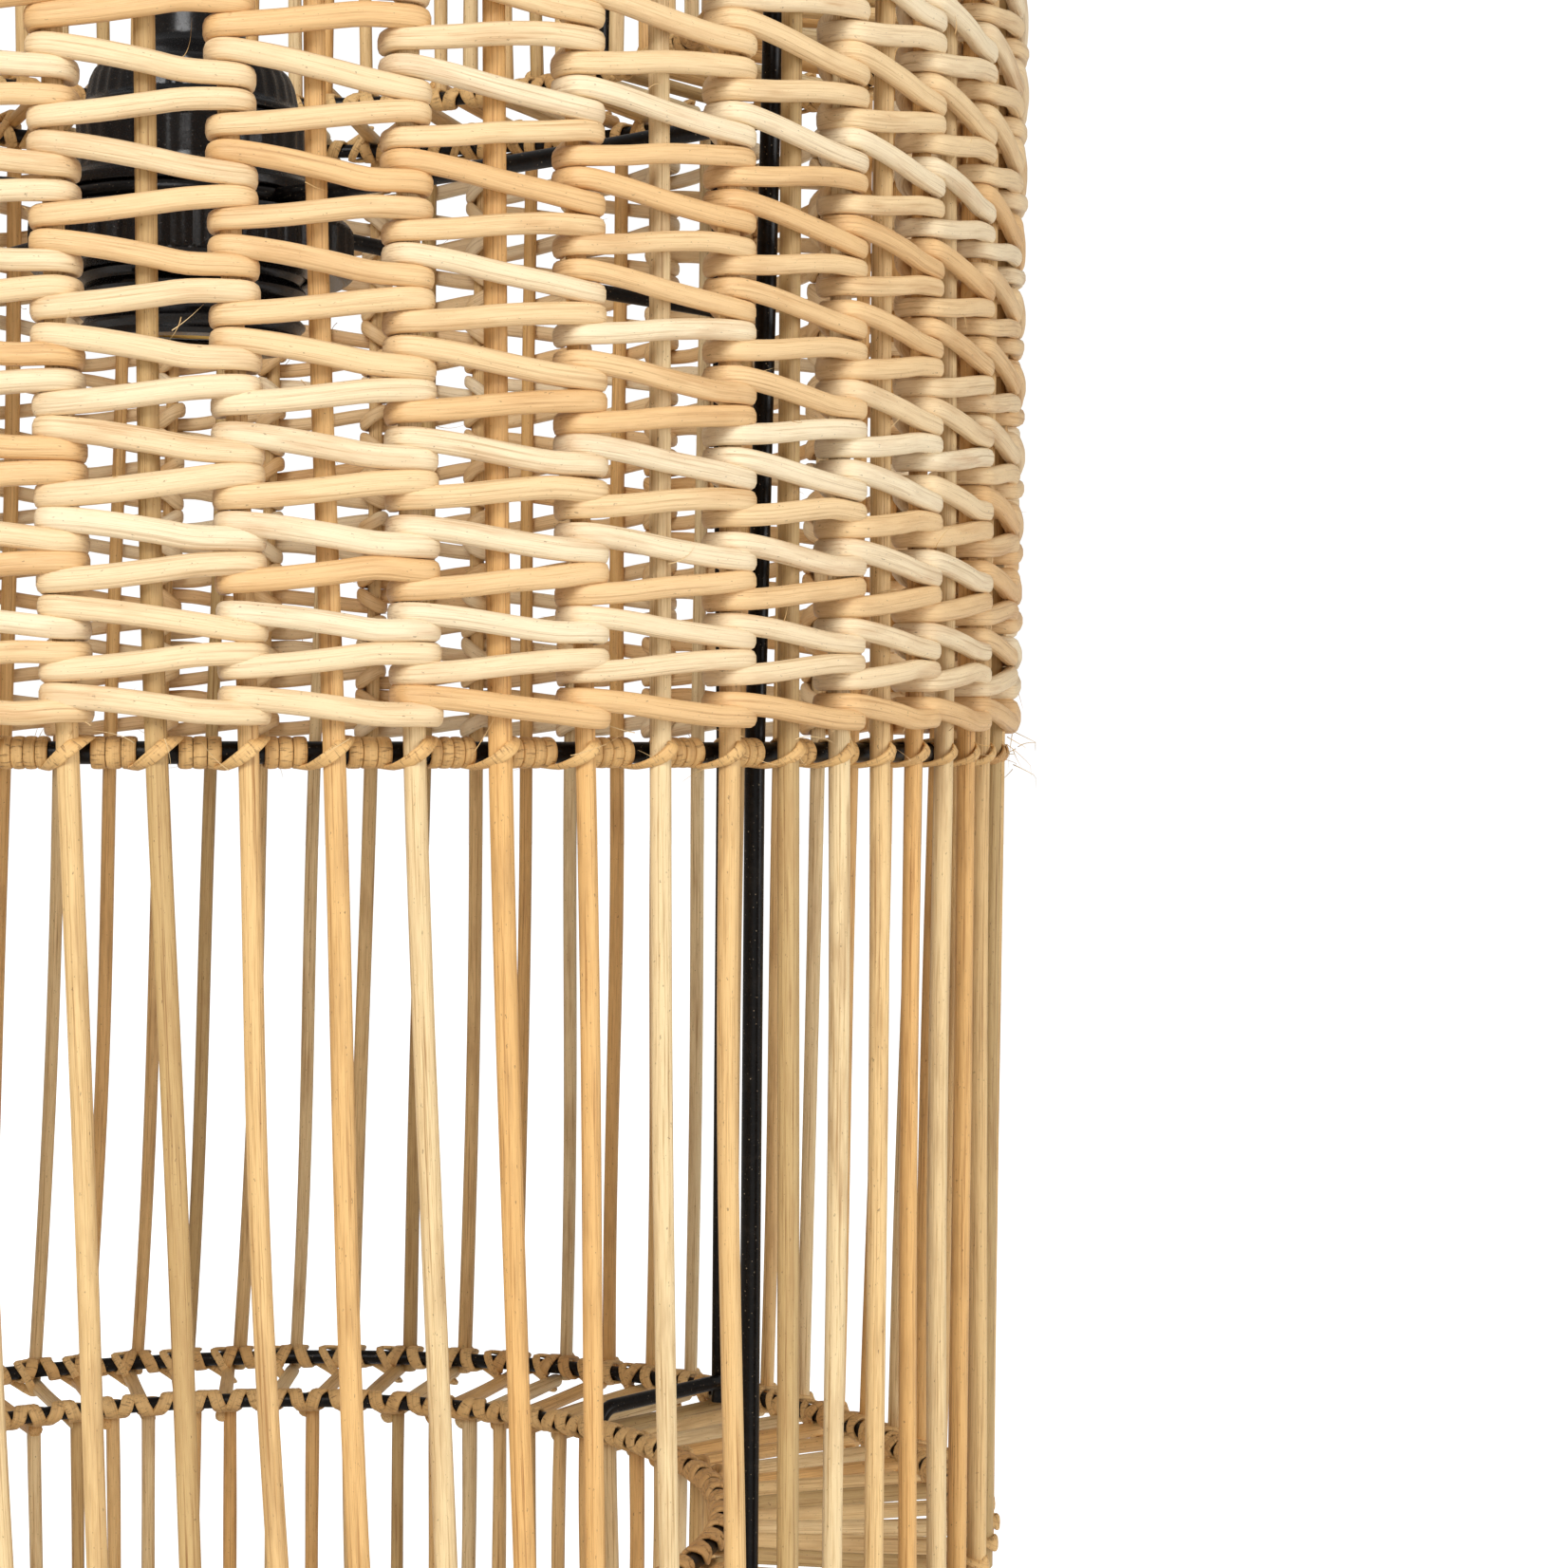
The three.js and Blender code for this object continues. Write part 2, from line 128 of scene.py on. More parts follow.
class Bundle:
    """Strands that make one piece. Each vertex knows its place along and across its own strand,
    for the grain."""

    def __init__(self):
        self.verts, self.faces, self.grain, self.tone, self.count = [], [], [], [], 0

    def add(self, verts, faces, grain, tone):
        self.verts.append(verts)
        self.faces.extend((np.asarray(f) + self.count).tolist() for f in faces)
        self.grain.append(grain)
        self.tone.append(np.broadcast_to(tone, len(verts)))
        self.count += len(verts)

    def sweep(self, path, across, out, tone, normal=None, sides=10, section=None, closed=False):
        """A strand along path, `across` and `out` being its half width and half thickness.
        normal is the way it faces; without one, its width stands upright."""
        path = np.asarray(path, float)
        n = len(path)
        if closed:
            tangent = unit(np.roll(path, -1, 0) - np.roll(path, 1, 0))
        else:
            tangent = unit(np.gradient(path, axis=0))
        if normal is None:
            facing = unit(np.cross(tangent, np.array([0, 0, 1.0])))
        else:
            facing = unit(normal - (normal * tangent).sum(1, keepdims=True) * tangent)
        wide = np.cross(facing, tangent)
        a = np.linspace(0, 2 * np.pi, sides, endpoint=False)
        x, y = (np.cos(a), np.sin(a)) if section is None else section
        w = (np.broadcast_to(across, n)[:, None] * x)[..., None]
        h = (np.broadcast_to(out, n)[:, None] * y)[..., None]
        rings = path[:, None] + w * wide[:, None] + h * facing[:, None]
        step = np.linalg.norm(np.diff(path, axis=0), axis=1)
        along = np.concatenate([[0], np.cumsum(step)]) + rng.uniform(0, 4000)
        grain = np.stack([np.broadcast_to(along[:, None], (n, sides)), w[..., 0], h[..., 0]], -1)
        tones = np.broadcast_to(np.broadcast_to(tone, n)[:, None], (n, sides))
        i = np.arange(n if closed else n - 1)[:, None]
        j = np.arange(sides)[None, :]
        k, m = (i + 1) % n, (j + 1) % sides
        corners = (i * sides + j, i * sides + m, k * sides + m, k * sides + j)
        faces = list(np.stack(np.broadcast_arrays(*corners), -1).reshape(-1, 4))
        if not closed:
            faces += [np.arange(sides)[::-1], (n - 1) * sides + np.arange(sides)]
        self.add(rings.reshape(-1, 3), faces, grain.reshape(-1, 3), tones.reshape(-1))

    def stick(self, path, radius, tone, sides=12, ridges=0.03, normal=None):
        """A natural rod: never quite round, with ridges along it, and its cut ends slightly rounded."""
        a = np.linspace(0, 2 * np.pi, sides, endpoint=False)
        k = 1 + ridges * (np.cos(3 * a + rng.uniform(0, 6)) + 0.6 * np.cos(5 * a + rng.uniform(0, 6)))
        n = len(path)
        first, last = path[0] - path[1], path[-1] - path[-2]
        tip, tip_share = 0.25 * STAKE_R, [0.82]
        path = np.vstack([path[0] + unit(first) * tip, path, path[-1] + unit(last) * tip])
        swell = 1 + 0.035 * np.sin(np.linspace(0, rng.uniform(4, 9), n) + rng.uniform(0, 6))
        r = np.concatenate([tip_share, swell, tip_share])
        if normal is None:
            normal = np.broadcast_to(unit(np.array([path[0][0], path[0][1], 0.01])), path.shape)
        self.sweep(path, radius * r, radius * r, tone, normal, sides, (k * np.cos(a), k * np.sin(a)))

    def piece(self, name, material, body, slot, *nodes, crease=None):
        mesh = bpy.data.meshes.new(name)
        mesh.from_pydata((np.vstack(self.verts) / 1000).tolist(), [], self.faces)
        mesh.attributes.new("grain", "FLOAT_VECTOR", "POINT").data.foreach_set(
            "vector", np.vstack(self.grain).astype(np.float32).ravel())
        mesh.attributes.new("tone", "FLOAT", "POINT").data.foreach_set(
            "value", np.concatenate(self.tone).astype(np.float32))
        mesh.polygons.foreach_set("use_smooth", [True] * len(mesh.polygons))
        if crease:
            mesh.set_sharp_from_angle(angle=math.radians(crease))
        mesh.materials.append(material)
        obj = bpy.data.objects.new(name, mesh)
        scene.collection.objects.link(obj)
        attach(obj, body)
        if nodes:
            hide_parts(*nodes)


def flat_section(sides, squareness):
    """Cross-section of a flattened strand: 1 is an ellipse, and less is squarer."""
    a = np.linspace(0, 2 * np.pi, sides, endpoint=False) + np.pi / sides
    c, s = np.cos(a), np.sin(a)
    return np.sign(c) * abs(c)**squareness, np.sign(s) * abs(s)**0.8


def rounded(profile, radius=0.35, closed=True, steps=3):
    """The profile with each corner eased by a small curve."""
    p = np.asarray(profile, float)
    out = []
    for i, corner in enumerate(p):
        if not closed and i in (0, len(p) - 1):
            out.append(corner)
            continue
        before, after = p[i - 1], p[(i + 1) % len(p)]
        reach_a = min(radius, 0.4 * np.linalg.norm(before - corner))
        reach_b = min(radius, 0.4 * np.linalg.norm(after - corner))
        a, b = corner + unit(before - corner) * reach_a, corner + unit(after - corner) * reach_b
        for t in np.linspace(0, 1, steps + 1):
            out.append((1 - t)**2 * a + 2 * t * (1 - t) * corner + t**2 * b)
    return np.array(out)


def lathe(profile, segments, shape=None, closed=True, offset=(0, 0)):
    """A turned body. shape(radius, z, angle) may cut ribs or a thread into it."""
    b = Bundle()
    p = np.asarray(profile, float)
    n = len(p)
    a = np.linspace(0, 2 * np.pi, segments, endpoint=False)
    r, z, t = np.broadcast_arrays(p[:, :1], p[:, 1:], a[None, :])
    if shape:
        r = shape(r, z, t)
    verts = np.stack([r * np.sin(t) + offset[0], -r * np.cos(t) + offset[1], z], -1).reshape(-1, 3)
    i = np.arange(n if closed else n - 1)[:, None]
    j = np.arange(segments)[None, :]
    k, m = (i + 1) % n, (j + 1) % segments
    corners = (i * segments + j, i * segments + m, k * segments + m, k * segments + j)
    faces = list(np.stack(np.broadcast_arrays(*corners), -1).reshape(-1, 4))
    if not closed:
        faces += [np.arange(segments)[::-1], (n - 1) * segments + np.arange(segments)]
    b.add(verts, faces, verts, 0.5)
    return b


# ---------------------------------------------------------------- materials

def linear(*rgb):
    """An 8-bit sRGB colour as the linear one that shaders take."""
    return tuple(((c / 255 + 0.055) / 1.055)**2.4 if c > 10 else c / 3294.6 for c in rgb) + (1,)


WHITE = (1, 1, 1, 1)
THIN_FIBRE, SPECK, CRACK = (0.66, 0.54, 0.38, 1), linear(84, 52, 22), linear(112, 74, 38)
DUST_FILM, DUST_SPECK = linear(150, 138, 122), linear(176, 160, 134)

# Cells of noise to a millimetre: along a strand, across it and out from it.
FIBRES, FINE_FIBRES, CLOUDS = (0.035, 2.6, 2.6), (0.12, 9.0, 9.0), (0.05, 0.35, 0.35)
SPECKS, CRACKS = (1.1, 2.4, 2.4), (3.2, 0.5, 0.5)
WAVES, FINE_DUST, DUST_CELLS = (0.5, 0.5, 0.5), (3.1, 3.1, 3.1), (1.5, 1.5, 1.5)


class Nodes:
    """A material and short names for the nodes it is made of."""

    def __init__(self, name):
        self.material = bpy.data.materials.new(name)
        self.material.use_nodes = True
        self.tree = self.material.node_tree
        self.shader = self.tree.nodes["Principled BSDF"]

    def new(self, kind, **values):
        node = self.tree.nodes.new(kind)
        for key, value in values.items():
            if key in node.inputs:
                node.inputs[key].default_value = value
            else:
                setattr(node, key, value)
        return node

    def link(self, a, b):
        self.tree.links.new(a, b)

    def attribute(self, name):
        return self.new("ShaderNodeAttribute", attribute_name=name)

    def noise(self, vector, stretch, detail, roughness=0.55):
        scale = self.new("ShaderNodeVectorMath", operation="MULTIPLY")
        self.link(vector, scale.inputs[0])
        scale.inputs[1].default_value = stretch
        node = self.new("ShaderNodeTexNoise", Scale=1.0, Detail=detail, Roughness=roughness)
        self.link(scale.outputs[0], node.inputs["Vector"])
        return node.outputs["Fac"]

    def span(self, value, low, high, to_low=0.0, to_high=1.0):
        node = self.new("ShaderNodeMapRange")
        self.link(value, node.inputs[0])
        for i, v in enumerate((low, high, to_low, to_high), 1):
            node.inputs[i].default_value = v
        return node.outputs[0]

    def ramp(self, value, stops):
        node = self.new("ShaderNodeValToRGB")
        elements = node.color_ramp.elements
        while len(elements) < len(stops):
            elements.new(0.5)
        for e, (place, colour) in zip(elements, stops):
            e.position, e.color = place, colour
        self.link(value, node.inputs[0])
        return node.outputs[0]

    def mix(self, factor, a, b, blend="MIX"):
        node = self.new("ShaderNodeMix", data_type="RGBA", blend_type=blend)
        for socket, value in ((node.inputs[0], factor), (node.inputs[6], a), (node.inputs[7], b)):
            if isinstance(value, (tuple, float, int)):
                socket.default_value = value
            else:
                self.link(value, socket)
        return node.outputs[2]

    def add(self, a, b, share=1.0):
        node = self.new("ShaderNodeMath", operation="MULTIPLY_ADD")
        self.link(b, node.inputs[0])
        node.inputs[1].default_value = share
        self.link(a, node.inputs[2])
        return node.outputs[0]

    def times(self, a, b):
        node = self.new("ShaderNodeMath", operation="MULTIPLY")
        self.link(a, node.inputs[0])
        self.link(b, node.inputs[1])
        return node.outputs[0]

    def bump(self, height, strength, distance):
        node = self.new("ShaderNodeBump", Strength=strength, Distance=distance)
        self.link(height, node.inputs["Height"])
        self.link(node.outputs[0], self.shader.inputs["Normal"])


def cane(name, tones, patch, speck, rough=(0.42, 0.62), streak=0.5, cracks=0.0):
    """Natural cane: fibres along the strand, tone from strand to strand, darker skin patches and specks."""
    m = Nodes(name)
    grain, tone = m.attribute("grain").outputs["Vector"], m.attribute("tone").outputs["Fac"]
    base = m.ramp(tone, tones)
    fibre = m.noise(grain, FIBRES, 5, 0.62)
    fine = m.noise(grain, FINE_FIBRES, 3, 0.6)
    cloud = m.noise(grain, CLOUDS, 3, 0.6)
    streak_colour = (1 - streak * 0.62, 1 - streak * 0.78, 1 - streak * 0.95, 1)
    shade = m.ramp(fibre, [(0.30, streak_colour), (0.47, WHITE)])
    colour = m.mix(1.0, base, shade, "MULTIPLY")
    thin = m.ramp(fine, [(0.33, THIN_FIBRE), (0.47, WHITE)])
    colour = m.mix(streak, colour, m.mix(1.0, colour, thin, "MULTIPLY"))
    stain = m.span(cloud, 0.52, 0.68)
    worn = m.times(stain, m.span(fine, 0.35, 0.6))
    colour = m.mix(m.span(worn, 0, 1, 0, 0.6), colour, patch)
    dots = m.span(m.noise(grain, SPECKS, 2, 0.7), 0.67, 0.73)
    colour = m.mix(m.span(dots, 0, 1, 0, speck), colour, SPECK)
    height = m.add(fibre, fine, 0.5)
    if cracks:
        across = m.span(m.noise(grain, CRACKS, 3, 0.7), 0.36, 0.44, 1, 0)
        colour = m.mix(m.span(across, 0, 1, 0, cracks), colour, CRACK)
        height = m.add(height, across, -0.8)
    m.link(colour, m.shader.inputs["Base Color"])
    m.link(m.span(fine, 0.3, 0.7, *rough), m.shader.inputs["Roughness"])
    m.bump(height, 0.55, 0.00035)
    return m.material


def hard(name, colour, rough, metal=0.0, dust=0.5, coat=0.0, shine=0.5):
    """Painted wire, moulded plastic or metal: a slightly uneven skin with dust and scuffs on it."""
    m = Nodes(name)
    place = m.attribute("grain").outputs["Vector"]
    wave = m.noise(place, WAVES, 3)
    fine = m.noise(place, FINE_DUST, 2, 0.7)
    cells = m.new("ShaderNodeTexVoronoi", Scale=1.0)
    scale = m.new("ShaderNodeVectorMath", operation="MULTIPLY")
    m.link(place, scale.inputs[0])
    scale.inputs[1].default_value = DUST_CELLS
    m.link(scale.outputs[0], cells.inputs["Vector"])
    dots = m.times(m.span(cells.outputs["Distance"], 0.08, 0.20, 1, 0), m.span(fine, 0.50, 0.60))
    film = m.span(wave, 0.5, 0.75, 0, 0.04 * dust)
    dark = m.mix(film, colour, DUST_FILM)
    shown = m.mix(m.span(dots, 0, 1, 0, dust), dark, DUST_SPECK)
    m.link(shown, m.shader.inputs["Base Color"])
    m.link(m.span(fine, 0.3, 0.7, rough, rough + 0.14), m.shader.inputs["Roughness"])
    m.shader.inputs["Metallic"].default_value = metal
    m.shader.inputs["Specular IOR Level"].default_value = shine
    m.shader.inputs["Coat Weight"].default_value = coat
    m.bump(m.add(wave, dots, 0.6), 0.35, 0.0001)
    return m.material


stake_cane = cane("stake_cane", [(0.0, linear(234, 208, 160)), (0.33, linear(230, 194, 136)),
                                 (0.66, linear(228, 179, 111)), (1.0, linear(196, 164, 110))],
                  patch=linear(160, 116, 66), speck=0.6, rough=(0.40, 0.60), streak=0.8)
weft_cane = cane("weft_cane", [(0.0, linear(244, 224, 188)), (0.5, linear(238, 206, 157)),
                               (1.0, linear(228, 182, 122))],
                 patch=linear(184, 130, 72), speck=0.5, rough=(0.36, 0.52))
lash_cane = cane("lash_cane", [(0.0, linear(242, 204, 142)), (0.6, linear(226, 182, 118)),
                               (1.0, linear(196, 144, 84))],
                 patch=linear(150, 104, 56), speck=0.35, rough=(0.45, 0.65), streak=0.45, cracks=0.55)
fibre_cane = cane("fibre_cane", [(0.0, linear(240, 214, 164)), (1.0, linear(210, 168, 108))],
                  patch=linear(190, 142, 84), speck=0.1)
black_wire = hard("black_wire", linear(9, 6, 5), 0.26, dust=0.8, shine=0.22)
bakelite = hard("bakelite", linear(15, 13, 13), 0.16, dust=0.25, shine=0.4)
brass = hard("brass", linear(196, 160, 90), 0.28, metal=1.0, dust=0.15)
zinc = hard("zinc", linear(176, 176, 178), 0.30, metal=1.0, dust=0.15)
porcelain = hard("porcelain", linear(232, 228, 219), 0.22, dust=0.2, coat=0.3)

# ---------------------------------------------------------------- wire frame

WIRE_SIDES, PLAIN = 16, 0.5                              # PLAIN is the tone of what has no tones
SKEW = (0.31, 0.95, 0.08)                                # no upright wire lies along this


def wire(bundle, path, closed=False):
    path = np.asarray(path, float)
    if closed:
        facing = unit(path * (1, 1, 0))
    else:
        spine = unit(path[-1] - path[0])
        side = np.cross(spine, SKEW if abs(spine[2]) > 0.7 else [0, 0, 1.0])
        facing = np.broadcast_to(unit(side), path.shape)
    bundle.sweep(path, WIRE_R, WIRE_R, PLAIN, facing, WIRE_SIDES, closed=closed)


def wire_ring(name, radius, z, node):
    b = Bundle()
    wire(b, around(radius, np.linspace(0, 360, 160, endpoint=False), z), closed=True)
    b.piece(name, black_wire, "shade", "black_wire", node)


wire_ring("wire_top_ring", drum_r(TOP_Z) - RING_INSET, TOP_Z, "top_ring")
wire_ring("wire_middle_ring", drum_r(MIDDLE_Z) - RING_INSET, MIDDLE_Z, "middle_ring")
wire_ring("wire_bottom_ring", drum_r(BOTTOM_Z) - RING_INSET, BOTTOM_Z, "bottom_ring")
for end, ring_z, outward in ENDS:
    wire_ring(f"wire_{end}_shoulder_ring", NECK_RING_R, ring_z, f"{end}_shoulder_ring")
    wire_ring(f"wire_{end}_neck_ring", NECK_RING_R, ring_z + outward * NECK_LENGTH, f"{end}_neck_ring")

POST_SLIPS = (-0.9, 0.6, -0.5, 0.4)                      # each post's own error, in degrees
POST_LEAN = 1.4                                          # degrees, from the middle ring up to the top one
POST_NEARER, STRUT_NEARER, STRUT_SHORT = 0.4, 0.6, 1.2   # than in the CAD, where the wires don't touch
BEND_R = 4                                               # where a strut turns into a neck wire

posts = Bundle()
for angle, slip in zip(POST_ANGLES, POST_SLIPS):
    z = np.linspace(BOTTOM_Z - WIRE_R, TOP_Z + WIRE_R, 40)
    turn = slip + POST_LEAN * np.maximum(0, z - MIDDLE_Z) / DRUM_HALF
    wire(posts, around(drum_r(z) - RING_INSET - POST_INSET + POST_NEARER, angle + turn, z))
posts.piece("wire_posts", black_wire, "shade", "black_wire", *[f"drum_post_{i + 1}" for i in range(4)])

for end, ring_z, outward in ENDS:
    b = Bundle()
    for angle, slot in zip(POST_ANGLES, NECK_WIRE_SLOTS):
        strut_z = ring_z - outward * (POST_INSET - STRUT_NEARER)
        outer = drum_r(ring_z) - RING_INSET - POST_INSET - STRUT_SHORT
        end_z = ring_z + outward * (NECK_LENGTH + WIRE_R)
        neck_angle = float(stake_angle(slot, ring_z))
        bend = [(NECK_R + BEND_R * (1 - math.sin(t)), strut_z + outward * BEND_R * (1 - math.cos(t)))
                for t in np.linspace(0, math.pi / 2, 9)]
        run = np.array([(r, strut_z) for r in np.linspace(outer, NECK_R + BEND_R + 2, 10)] + bend
                       + [(NECK_R, z) for z in np.linspace(strut_z + outward * (BEND_R + 2), end_z, 14)])
        turn = np.interp(run[:, 0], (NECK_R, outer), (neck_angle, angle))
        a = math.radians(neck_angle)
        facing = np.broadcast_to(np.array([math.cos(a), math.sin(a), 0.0]), (len(run), 3))
        b.sweep(around(run[:, 0], turn, run[:, 1]), WIRE_R, WIRE_R, PLAIN, facing, WIRE_SIDES)
    b.piece(f"wire_{end}_neck", black_wire, "shade", "black_wire",
            *[f"{end}_neck_wire_{i + 1}" for i in range(4)])

ARM_START, ARM_SAG = 1.2, 0.8

spider = Bundle()
wire(spider, around(SPIDER_RING_R, np.linspace(0, 360, 96, endpoint=False), SPIDER_Z), closed=True)
for angle in POST_ANGLES:
    t = np.linspace(0, 1, 20)
    end_r = drum_r(SPIDER_Z) - RING_INSET - POST_INSET - WIRE_R - GAP
    sag = -SPIDER_DROP * t - ARM_SAG * np.sin(np.pi * t)
    r = SPIDER_RING_R + ARM_START + t * (end_r - SPIDER_RING_R - ARM_START)
    wire(spider, around(r, angle, SPIDER_Z + sag))
spider.piece("wire_spider", black_wire, "shade", "black_wire", "spider_ring",
             *[f"spider_arm_{i + 1}" for i in range(4)])

# ---------------------------------------------------------------- drum stakes

TONES = {"p": 0.08, "g": 0.36, "o": 0.64, "s": 0.97}
RUN_OF_TONES = "gsgopoopgspgopogsgp"       # stake by stake: pale, golden, orange or speckled green


def stake_tone(i):
    return float(np.clip(TONES[RUN_OF_TONES[i % len(RUN_OF_TONES)]] + rng.uniform(-0.09, 0.09), 0, 1))


STAKE_PANELS, STAKE_END = 8, 2.6                         # how far a stake runs past its ring, at least
for panel in range(STAKE_PANELS):
    b = Bundle()
    for i in range(round(panel * STAKES / STAKE_PANELS), round((panel + 1) * STAKES / STAKE_PANELS)):
        z = np.linspace(BOTTOM_Z - STAKE_END - rng.uniform(0, 0.8), TOP_Z + STAKE_END + rng.uniform(0, 0.8), 34)
        sway = 0.35 * np.sin(z / rng.uniform(22, 40) + rng.uniform(0, 6))
        r = drum_r(z) + 0.2 * np.sin(z / rng.uniform(25, 50) + rng.uniform(0, 6))
        b.stick(around(r, stake_angle(i, z) + np.degrees(sway / r), z), STAKE_R * rng.uniform(0.90, 1.04),
                stake_tone(i), 16)
    b.piece(f"stakes_{panel + 1}", stake_cane, "shade", "rattan", f"drum_stakes_{panel + 1}")

# ---------------------------------------------------------------- woven band

ROW_PAIRS = 10
FIRST_PAIR, PAIR_STEP, STEP_GROWTH = 8.95, 11.1, 0.24     # heights above the middle ring
WEFT_H, WEFT_T = 1.53, 1.30                              # half height and half thickness of a weft strand
SWELLS = 31                                              # thicker places round one row
ARC = math.radians(PITCH) * drum_r(MIDDLE_Z + 60)        # from one stake to the next, along the drum


def pair_height(j):
    return MIDDLE_Z + FIRST_PAIR + PAIR_STEP * j + STEP_GROWTH * j * (j - 1) / 2


def weft_row(bundle, j, slope):
    """One strand right round the drum: it passes in front of two stakes, goes in behind the second one,
    and comes out before it again. Each row of span is along, out, up and share of the thickness."""
    middle = pair_height(j)
    half_step = (PAIR_STEP + STEP_GROWTH * j) / 2
    near, far = WEFT_H + 0.05, half_step - WEFT_H - 0.05
    size = 1 + rng.uniform(-0.07, 0.07)
    points = []
    thread_tone = 0.35
    for k in range(STAKES // 2):
        up = [near + rng.uniform(-0.25, 0.4), far + rng.uniform(-0.4, 0.25)]
        lift = rng.uniform(-0.15, 0.25)
        if rng.uniform() < 0.3:
            thread_tone = rng.uniform(0.0, 0.95)
        climb = far - near
        span = [(-2.0, -2.0, up[0], 0.80), (-2.45, -0.2, up[0], 0.72), (-1.6, 2.1, up[0], 0.95),
                (0.6, 2.95, up[0] + 0.1, 1.0), (ARC * 0.5, 3.0 + lift, up[0] + 0.24 * climb, 1.0),
                (ARC, 3.1 + lift, up[0] + 0.56 * climb, 1.0), (ARC * 1.5, 3.05, up[0] + 0.84 * climb, 1.0),
                (2 * ARC - 0.6, 3.05, up[1], 1.0), (2 * ARC + 1.6, 2.2, up[1], 0.95),
                (2 * ARC + 2.45, -0.1, up[1], 0.72), (2 * ARC + 2.0, -2.0, up[1], 0.80),
                (2 * ARC, -2.9, (near + far) / 2, 0.85)]
        for s, h, up_by, thick in span:
            z = middle + slope * up_by
            r = drum_r(z)
            follow = 1 if s > ARC else 0
            a = stake_angle(2 * (k + follow), z) + math.degrees((s - 2 * ARC * follow) / r)
            points.append((*around(r + h, a, z), thick, thread_tone))
    run = smooth(points, 3, closed=True)
    swell = size * (1 + 0.03 * np.sin(np.linspace(0, 2 * np.pi * SWELLS, len(run))))
    bundle.sweep(run[:, :3], WEFT_H * swell, WEFT_T * swell * run[:, 3], np.clip(run[:, 4], 0, 1), None, 12,
                 flat_section(12, 0.82), closed=True)


for j in range(ROW_PAIRS):
    b = Bundle()
    weft_row(b, j, 1)
    weft_row(b, j, -1)
    if j == ROW_PAIRS - 1:
        weft_row(b, j + 1, -1)                           # a last single row, under the top ring
    b.piece(f"weft_pair_{j + 1}", weft_cane, "shade", "weft", "woven_band")

# ---------------------------------------------------------------- shoulders and necks

SHOULDER_POINTS, NECK_POINTS = 12, 14
UPRIGHT = np.tile([0, 0, 1.0], (SHOULDER_POINTS + 2, 1))   # a stick adds a point at each end

for end, ring_z, outward in ENDS:
    z = ring_z + outward * SHOULDER_LIFT
    b = Bundle()
    for i in range(STAKES):
        a = float(stake_angle(i, ring_z)) + PITCH * 0.12 + rng.uniform(-0.35, 0.35)
        t = np.linspace(0, 1, SHOULDER_POINTS)
        r = NECK_R + 0.6 - rng.uniform(0, 1.5) + t * (drum_r(ring_z) - NECK_R - 0.6)
        wave = 0.35 * np.sin(t * rng.uniform(2, 4) + rng.uniform(0, 6))
        path = around(r, a + t * rng.uniform(-0.4, 0.4), z + outward * wave)
        b.stick(path, STAKE_R * rng.uniform(0.92, 1.05), stake_tone(i), normal=UPRIGHT)
    b.piece(f"sticks_{end}_shoulder", stake_cane, "shade", "rattan", f"{end}_shoulder_sticks")
    b = Bundle()
    for i in range(STAKES):
        heights = np.linspace(ring_z + outward * 1.2, ring_z + outward * (NECK_LENGTH + 1.6), NECK_POINTS)
        if outward < 0:
            heights = heights[::-1]
        a = float(stake_angle(i, ring_z)) + rng.uniform(-0.5, 0.5)
        t = np.linspace(-1, 1, NECK_POINTS)
        path = around(NECK_R + 0.2 * np.sin(t * 3 + i), a + t * rng.uniform(-0.4, 0.4), heights)
        b.stick(path, STAKE_R * rng.uniform(0.85, 1.0), stake_tone(i + 5))
    b.piece(f"sticks_{end}_neck", stake_cane, "shade", "rattan",
            *[f"{end}_neck_sticks_{q + 1}" for q in range(4)])

# ---------------------------------------------------------------- lashings

STRIP_SIDES, STRIP_SQUARENESS = 10, 0.7
SLANTED_W = 1.42                                         # half width of the middle ring's strip
TURN_W = 1.8                                             # about how wide one coiled turn of it looks


def lash(bundle, ring_r, z, points_for, width, thickness):
    """A flat cane strip that runs right round a ring. points_for(i, gap) gives, for each stick, rows of (along,
    out from the stick's centre, up, facing out, facing up, share of the width), in millimetres."""
    r = ring_r + RING_INSET
    stick_angles = [float(stake_angle(i, z)) for i in range(STAKES)]
    points = []
    tone = 0.5
    for i, angle in enumerate(stick_angles):
        gap = math.radians((stick_angles[(i + 1) % STAKES] - angle) % 360) * r
        if rng.uniform() < 0.25:
            tone = rng.uniform(0.1, 0.9)
        jitter = rng.uniform(-0.15, 0.15)
        for s, h, up, face_out, face_up, *share in points_for(i, gap):
            a = angle + math.degrees((s + jitter) / r)
            place = around(r + h, a, z + up)
            facing = around(face_out, a, face_up)
            shown = float(np.clip(tone + rng.uniform(-0.08, 0.08), 0, 1))
            points.append((*place, *facing, shown, *(share or (1.0,))))
    run = smooth(points, 3, closed=True)
    bundle.sweep(run[:, :3], width * run[:, 7], thickness, np.clip(run[:, 6], 0, 1), run[:, 3:6],
                 STRIP_SIDES, flat_section(STRIP_SIDES, STRIP_SQUARENESS), closed=True)


def coil(stops, share):
    """Turns of strip round the ring wire alone, side by side: it moves on to the next stop behind the wire."""
    core = WIRE_R + 0.36
    for k, (a, b) in enumerate(zip(stops, stops[1:])):
        last = k == len(stops) - 2
        for phi in range(90, 290 if last else 450, 40):
            c, s = math.cos(math.radians(phi)), math.sin(math.radians(phi))
            moved = min(1.0, (phi - 90) / 170)
            yield a + (b - a) * moved, -RING_INSET + core * c, core * s, c, s, share


